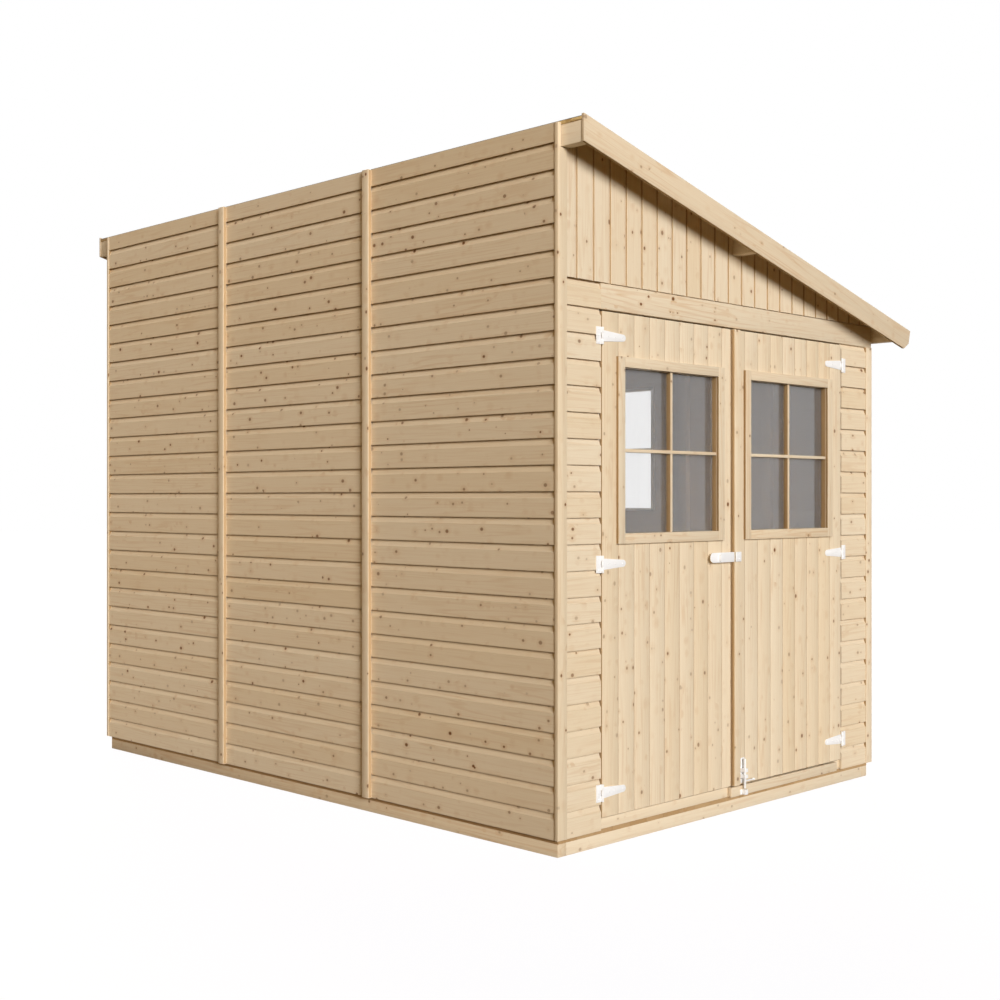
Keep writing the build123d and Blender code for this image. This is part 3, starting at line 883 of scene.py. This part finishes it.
def door_leaf(side):
    """Board a door leaf from its hinge edge."""
    node = side + "_door_boards"
    low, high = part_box(node)
    count = math.ceil((high.x - low.x) / upright_cover)
    leaf = jointed_board(high.z - low.z + 2 * overrun, upright_cover, high.y - low.y)
    leaf.name = side + "_leaf_boards"
    repeat(leaf, count, (0, 0, upright_cover))
    start = low.x if side == "left" else high.x - count * upright_cover
    carry(leaf, (-overrun, 0, 0))
    carry(leaf, (start, low.y, high.z), (0, quarter, 0))
    trim_to(leaf, node, across_y)
    # The sides of the boards, in the joints and at the edges of the leaf, get the paler edge finish as
    # painted shade.
    hand_over(leaf, side + "_door", planed["upright"], "spruce_cladding", node, sides=0)


door_leaf("left")
door_leaf("right")

# %% [markdown]
# ## Floor
# Inside lies a floor of the same jointed boards, laid flat from front to back and left as the saw
# made them. A row is made upright as for a door, tipped on its back and turned.

# %% Floor
floor_cover = 88 * mm
across_z = (1, 1, thicker)
low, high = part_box("floor")
floor_boards = jointed_board(high.y - low.y + 2 * overrun, floor_cover, high.z - low.z)
floor_boards.name = "floor_boards"
repeat(floor_boards, math.ceil((high.x - low.x) / floor_cover), (0, 0, floor_cover))
carry(floor_boards, (0, 0, 0), (-quarter, 0, 0))
carry(floor_boards, (high.x, low.y - overrun, high.z), (0, 0, quarter))
trim_to(floor_boards, "floor", across_z)
hand_over(floor_boards, "shed", sawn["along_y"], "frame_timber", "floor")

# %% [markdown]
# ## Strips, rails and frame
# Corner strips, cover strips, lintel, bargeboards and all the frame behind the cladding are plain
# timbers, whose CAD shape is right but for one thing: no real timber has knife edges. A copy of
# each node is merged, its sharp edges are found by their angle, and a small bevel rounds them.

# %% Strips, rails and frame
sharp_angle = math.radians(40)


def eased(node, name, ease):
    """A copy of a CAD node with its sharp edges rounded over."""
    piece = loose_copy(node, name)
    bpy.ops.object.mode_set(mode="EDIT")
    bpy.ops.mesh.select_all(action="DESELECT")
    bpy.ops.mesh.edges_select_sharp(sharpness=sharp_angle)
    round_over(ease)
    done()
    return piece


planed_ease = 2.2 * mm
sawn_ease = 1.6 * mm
# The last column is the axis whose sides take the paler edge finish, as painted shade.
planed_timbers = (
    ("corner_strips", "corner_trim", planed["upright"], "shed", None),
    ("side_cover_strips", "side_cover_trim", planed["upright"], "shed", 1),
    ("back_cover_strip", "back_cover_trim", planed["upright"], "shed", 0),
    ("door_lintel", "lintel_board", trim["along_x"], "shed", None),
    ("bolt_rail", "bolt_rail_board", trim["along_x"], "shed", None),
    ("bargeboards", "barge_trim", trim["down_the_roof"], "shed", None),
    ("meeting_strip", "meeting_trim", planed["upright"], "right_door", 0),
    ("left_door_ledges", "left_ledge_boards", trim["along_x"], "left_door", None),
    ("right_door_ledges", "right_ledge_boards", trim["along_x"], "right_door", None),
)
frame_timbers = (
    ("base_bearers", "bearer_timbers", trim["along_y"]),
    ("base_joists", "joist_timbers", planed["along_x"]),
    ("purlins", "purlin_timbers", planed["along_y"]),
    ("end_wall_rails", "end_rail_timbers", planed["along_x"]),
    ("side_wall_rails", "side_rail_timbers", sawn["along_y"]),
    ("side_wall_studs", "side_stud_timbers", sawn["upright"]),
    ("end_wall_studs", "end_stud_timbers", sawn["upright"]),
)
for node, name, finish, body, sides in planed_timbers:
    hand_over(eased(node, name, planed_ease), body, finish, "spruce_cladding", node, sides=sides)

# Faces that look inwards on the corner strips, and inwards or down on the bargeboards, get the deeper edge
# finish as painted shade.
shade_inner_faces(bpy.data.objects["corner_trim"], (0, 1), rough_shaded_edge)
shade_inner_faces(bpy.data.objects["barge_trim"], (1, 2), rough_shaded_edge)

for node, name, finish in frame_timbers:
    hand_over(eased(node, name, sawn_ease), "shed", finish, "frame_timber", node)

# %% [markdown]
# ## Windows
# Each window is a joiner's job: a casing of four boards on the face, a lining through the wall,
# and bars that part the pane into four. It is laid out flat in front of the eye, lath by lath, and
# then carried to its wall.

# %% Windows
casing_width = 34 * mm
casing_thickness = 11 * mm
lining_thickness = 12 * mm
glass_front = 30 * mm
bar_width = 11 * mm
bar_depth = 20 * mm
lath_ease = 1.2 * mm


def lath(low, high, finish):
    """A planed lath between two corners, its edges rounded over."""
    piece = block("lath", low, high)
    bpy.ops.object.mode_set(mode="EDIT")
    bpy.ops.mesh.select_all(action="SELECT")
    round_over(lath_ease)
    done()
    piece.data.materials.append(finish)
    return piece


def surround(left, right, foot, head, width, near, far, level, upright):
    """Four laths round an opening: uprights over the full height, rails between them."""
    return [
        lath((left - width, near, foot - width), (left, far, head + width), upright),
        lath((right, near, foot - width), (right + width, far, head + width), upright),
        lath((left, near, foot - width), (right, far, foot), level),
        lath((left, near, head), (right, far, head + width), level),
    ]


def window(name, node, wall, body, grain):
    """Build a window flat in front of the eye and carry it to its wall."""
    low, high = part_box(node)
    turn, _, corner = walls[wall]
    along, through = (0, 1) if wall == "front" else (1, 0)
    across, depth = high[along] - low[along], high[through] - low[through]
    level, upright = trim[grain], trim["upright"]
    left, right = casing_width, across - casing_width
    foot, head = casing_width, high.z - low.z - casing_width
    middle, waist = across / 2, (foot + head) / 2
    half = bar_width / 2
    front = glass_front - bar_depth
    laths = surround(left, right, foot, head, casing_width, 0, casing_thickness, level, upright)
    laths += surround(left, right, foot, head, lining_thickness, casing_thickness, depth, level, upright)
    laths.append(lath((left, front, waist - half), (right, glass_front, waist + half), level))
    laths.append(lath((middle - half, front, foot), (middle + half, glass_front, waist - half), upright))
    laths.append(lath((middle - half, front, waist + half), (middle + half, glass_front, head), upright))
    made = joined(name, laths)
    carry(made, (*corner(low, high), low.z), (0, 0, turn))
    # The sides of the laths, in the reveals and along the bars, get the deeper edge finish as painted shade.
    hand_over(made, body, None, "spruce_cladding", node, sides=along, edge=rough_shaded_edge)


window("left_window_joinery", "left_window_frame", "front", "left_door", "along_x")
window("right_window_joinery", "right_window_frame", "front", "right_door", "along_x")
window("side_window_joinery", "side_window_frame", "right", "shed", "along_y")

# %% [markdown]
# ## Roof
# The strand board deck stays as it is in shape. The felt comes on a roll and is laid in lengths
# across the fall, each lapping over the one below and nailed along the lap. One length is a thin
# block whose lower edge is lifted on to its neighbour; the nails are one small head repeated.

# %% Roof
hand_over(eased("roof_deck", "deck_boards", board_ease), "shed", roof_board, "roof_board", "roof_deck")

felt_thickness = 2 * mm
felt_lap = 80 * mm
course_count = 3
nail_spacing = 110 * mm
nail_radius = 5 * mm
nail_height = 1 * mm
nail_sides = 10
nail_ease = 0.4 * mm
nail_rise = 0.3 * mm
nail_inset = 22 * mm
low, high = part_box("roof_felt")
fall = (high.x - low.x) / math.cos(roof_angle)
course = (fall + (course_count - 1) * felt_lap) / course_count
top_edge = (low.x, low.y, high.z - felt_thickness / math.cos(roof_angle))
roof_turn = (0, roof_angle, 0)

courses = []
nails = []
for number in range(course_count):
    start = number * (course - felt_lap)
    strip = block("felt_course", (start, 0, 0), (start + course, high.y - low.y, felt_thickness))
    last = number == course_count - 1
    if not last:
        edit(strip, "FACE", lambda co: co.x > start + course - hair)
        bpy.ops.transform.translate(value=(0, 0, felt_thickness))
        done()
    courses.append(strip)
    bpy.ops.object.select_all(action="DESELECT")
    bpy.ops.mesh.primitive_cylinder_add(vertices=nail_sides, radius=nail_radius, depth=nail_height)
    nail = bpy.context.object
    rise = felt_thickness * (1 if last else 2) + nail_rise
    carry(nail, (start + course - nail_inset, nail_spacing / 2, rise))
    edit(nail, "EDGE", lambda co: co.z > rise)
    round_over(nail_ease)
    done()
    repeat(nail, int((high.y - low.y) / nail_spacing), (0, nail_spacing, 0))
    nails.append(nail)
felt_courses = joined("felt_courses", courses)
carry(felt_courses, top_edge, roof_turn)
hand_over(felt_courses, "shed", felt, "roof_felt", "roof_felt")
felt_nails = joined("felt_nails", nails)
carry(felt_nails, top_edge, roof_turn)
hand_over(felt_nails, "shed", zinc, "roof_felt")

# %% [markdown]
# ## Hinges, hasp and bolt
# The steel parts are pressed and bent from thin plate and coated white. They keep their CAD shapes,
# with edges softened as a thick coat softens them, so a merged copy and a small bevel are enough.
# The bolt's handle also gets the round knob that a finger pulls, made from a ball.

# %% Hinges, hasp and bolt
paint_ease = 0.4 * mm
steel_parts = (
    ("left_hinge_plates", "left_hinge_wall_plates", "shed"),
    ("right_hinge_plates", "right_hinge_wall_plates", "shed"),
    ("left_hinge_straps", "left_hinge_arms", "left_door"),
    ("right_hinge_straps", "right_hinge_arms", "right_door"),
    ("hasp_strap", "hasp_arm", "left_door"),
    ("hasp_plate", "hasp_hinge_plate", "right_door"),
    ("bolt_plate", "bolt_guide_plate", "right_door"),
    ("bolt_keeper", "bolt_keeper_strap", "shed"),
)
for node, name, body in steel_parts:
    hand_over(eased(node, name, paint_ease), body, white_steel, "white_steel", node)

knob_radius = 5 * mm
handle_rise = 25 * mm
bolt_low, bolt_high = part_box("door_bolt")
bolt_bar = eased("door_bolt", "bolt_bar", paint_ease)
handle_height = bolt_low.z + handle_rise
bolt_middle_y = (bolt_low.y + bolt_high.y) / 2
bpy.ops.object.select_all(action="DESELECT")
bpy.ops.mesh.primitive_uv_sphere_add(
    segments=16, ring_count=10, radius=knob_radius, location=(bolt_high.x, bolt_middle_y, handle_height)
)
bpy.ops.object.transform_apply(location=True, rotation=True, scale=True)
knob = bpy.context.object
hand_over(joined("bolt_bar", [bolt_bar, knob]), "bolt", white_steel, "white_steel", "door_bolt")

# %% [markdown]
# ## Screws
# The plates are held by pan head screws in the same white. One head is a ball, flattened and
# halved, with a cross cut into it. It is modelled once, and every copy has its own mesh.

# %% Screws
screw_radius = 3.4 * mm
screw_height = 1.6 * mm
cross_width = 0.9 * mm
cross_reach = 2.2 * mm
cross_depth = 0.9 * mm


def pan_head():
    """A low domed screw head that faces -y, with a cross sunk into it."""
    bpy.ops.object.select_all(action="DESELECT")
    bpy.ops.mesh.primitive_uv_sphere_add(segments=14, ring_count=8, radius=screw_radius)
    head = bpy.context.object
    bpy.ops.object.mode_set(mode="EDIT")
    bpy.ops.transform.resize(value=(1, 1, screw_height / screw_radius))
    bpy.ops.mesh.bisect(plane_co=(0, 0, 0), plane_no=(0, 0, 1), use_fill=True, clear_inner=True)
    done()
    floor_of_cross = screw_height - cross_depth
    for reach in ((cross_reach, cross_width / 2), (cross_width / 2, cross_reach)):
        slot = block("slot", (-reach[0], -reach[1], floor_of_cross), (*reach, 2 * screw_height))
        pick(head)
        bpy.ops.object.modifier_add(type="BOOLEAN")
        sink = head.modifiers[-1]
        sink.operation = "DIFFERENCE"
        sink.object = slot
        bpy.ops.object.modifier_apply(modifier=sink.name)
        bpy.data.objects.remove(slot)
    carry(head, (0, 0, 0), (quarter, 0, 0))
    return head


def set_out(master, name, places, body):
    """Copy a master to each place, every copy with its own mesh, and hand them over as one."""
    copies = []
    for place in places:
        copy = bpy.data.objects.new(name, master.data.copy())
        bpy.context.collection.objects.link(copy)
        carry(copy, place)
        copies.append(copy)
    hand_over(joined(name, copies), body, white_steel, "white_steel")


screw = pan_head()
print("a screw head has", len(screw.data.polygons), "faces")

# %% [markdown]
# ## Screw places
# Each hinge has three screws along its strap and three up its plate. The bolt's plate has one in
# each corner, the hasp two above each other, and the keeper one on either side. Their places are
# worked out from the boxes of the leaves and plates, so that they follow if one of those changes.

# %% Screw places
hinge_end_distance = 80 * mm
hinge_thickness = 2.5 * mm
plate_off = 19 * mm
plate_share = 0.34
strap_holes = [(share, 0) for share in (0.30, 0.58, 0.88)]
plate_holes = [(plate_share, off) for off in (-plate_off, 0, plate_off)]
leaf_low, leaf_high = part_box("left_door_boards")
hinge_face = leaf_low.y - hinge_thickness
hinge_heights = (
    leaf_low.z + hinge_end_distance,
    (leaf_low.z + leaf_high.z) / 2,
    leaf_high.z - hinge_end_distance,
)


def mirrored(holes):
    """The same holes, counted from the other side."""
    return [(1 - share, off) for share, off in holes]


def hinge_places(node, holes):
    """Screw places on three hinges, from shares of their width and heights off their middle."""
    low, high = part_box(node)
    places = []
    for height in hinge_heights:
        for share, off in holes:
            places.append((low.x + share * (high.x - low.x), hinge_face, height + off))
    return places


hinge_screws = (
    ("left_arm_screws", "left_hinge_straps", strap_holes, "left_door"),
    ("right_arm_screws", "right_hinge_straps", mirrored(strap_holes), "right_door"),
    ("left_plate_screws", "left_hinge_plates", plate_holes, "shed"),
    ("right_plate_screws", "right_hinge_plates", mirrored(plate_holes), "shed"),
)
for name, node, holes, body in hinge_screws:
    set_out(screw, name, hinge_places(node, holes), body)

guide_inset = 6 * mm
guide_thickness = 2 * mm
low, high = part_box("bolt_plate")
guide_places = [
    (x, leaf_low.y - guide_thickness, z)
    for x in (low.x + guide_inset, high.x - guide_inset)
    for z in (low.z + guide_inset, high.z - guide_inset)
]
set_out(screw, "bolt_plate_screws", guide_places, "right_door")

hasp_thickness = 3 * mm
hasp_share = 0.62
hasp_row_shares = (0.25, 0.75)
low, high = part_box("hasp_plate")
hasp_x = low.x + hasp_share * (high.x - low.x)
hasp_places = [
    (hasp_x, high.y - hasp_thickness, low.z + share * (high.z - low.z)) for share in hasp_row_shares
]
set_out(screw, "hasp_plate_screws", hasp_places, "right_door")

keeper_thickness = 2.5 * mm
keeper_inset = 4 * mm
low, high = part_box("bolt_keeper")
keeper_places = [
    (x, high.y - keeper_thickness, (low.z + high.z) / 2)
    for x in (low.x + keeper_inset, high.x - keeper_inset)
]
set_out(screw, "keeper_screws", keeper_places, "shed")
bpy.data.objects.remove(screw)
